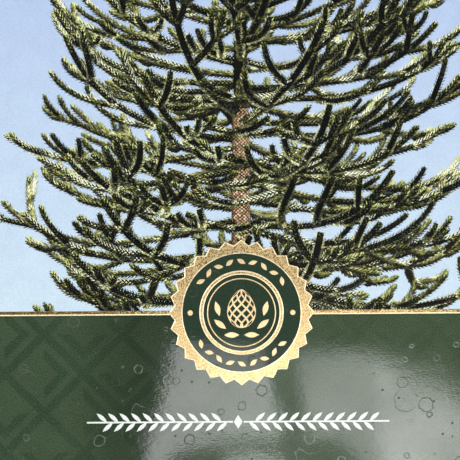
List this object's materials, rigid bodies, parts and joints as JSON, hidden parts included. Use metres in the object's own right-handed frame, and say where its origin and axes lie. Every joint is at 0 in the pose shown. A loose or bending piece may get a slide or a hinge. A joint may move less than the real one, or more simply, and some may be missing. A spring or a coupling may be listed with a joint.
{
  "type": "printed plant label",
  "caption": "Flat glossy printed plant label card: tree picture above a green panel, with a gold rule, a toothed gold seal and a white sprig.",
  "frame": {"origin": "middle of the card's flat back", "axes": "+X to the picture's right, +Y to its top, +Z out of the print; the card lies on its back"},
  "size_m": [0.15, 0.21, 0.001],
  "materials": {
    "card": "smooth white plastic, bare on the back and the edge",
    "sky_print": "glossy printed pale blue",
    "panel_print": "glossy printed dark green with a tone on tone lattice",
    "gold_foil": "grainy satin gold foil under gloss",
    "seal_print": "glossy printed deep green",
    "white_print": "glossy white print",
    "bough_print": "glossy print of dark green leafy boughs",
    "trunk_print": "glossy print of scaly brown bark"
  },
  "bodies": {
    "root": {"card": "card", "far_boughs_left": "bough_print", "far_boughs_right": "bough_print", "gold_rule_left": "gold_foil", "gold_rule_right": "gold_foil", "green_panel": "panel_print", "near_boughs_left": "bough_print", "near_boughs_right": "bough_print", "picture_sky": "sky_print", "pictured_trunk": "trunk_print", "seal_collar_left_1": "gold_foil", "seal_collar_left_2": "gold_foil", "seal_collar_left_3": "gold_foil", "seal_collar_right_1": "gold_foil", "seal_collar_right_2": "gold_foil", "seal_collar_right_3": "gold_foil", "seal_cone": "gold_foil", "seal_disc": "seal_print", "seal_dot_left": "gold_foil", "seal_dot_right": "gold_foil", "seal_inner_line": "gold_foil", "seal_leaf_bottom_1": "gold_foil", "seal_leaf_bottom_2": "gold_foil", "seal_leaf_bottom_3": "gold_foil", "seal_leaf_bottom_4": "gold_foil", "seal_leaf_bottom_5": "gold_foil", "seal_leaf_bottom_6": "gold_foil", "seal_leaf_bottom_7": "gold_foil", "seal_leaf_bottom_8": "gold_foil", "seal_leaf_bottom_9": "gold_foil", "seal_leaf_top_1": "gold_foil", "seal_leaf_top_2": "gold_foil", "seal_leaf_top_3": "gold_foil", "seal_leaf_top_4": "gold_foil", "seal_leaf_top_5": "gold_foil", "seal_leaf_top_6": "gold_foil", "seal_leaf_top_7": "gold_foil", "seal_leaf_top_8": "gold_foil", "seal_leaf_top_9": "gold_foil", "seal_ring": "gold_foil", "seal_rosette": "gold_foil", "sprig_bud": "white_print", "sprig_left": "white_print", "sprig_right": "white_print"}
  },
  "joints": []
}
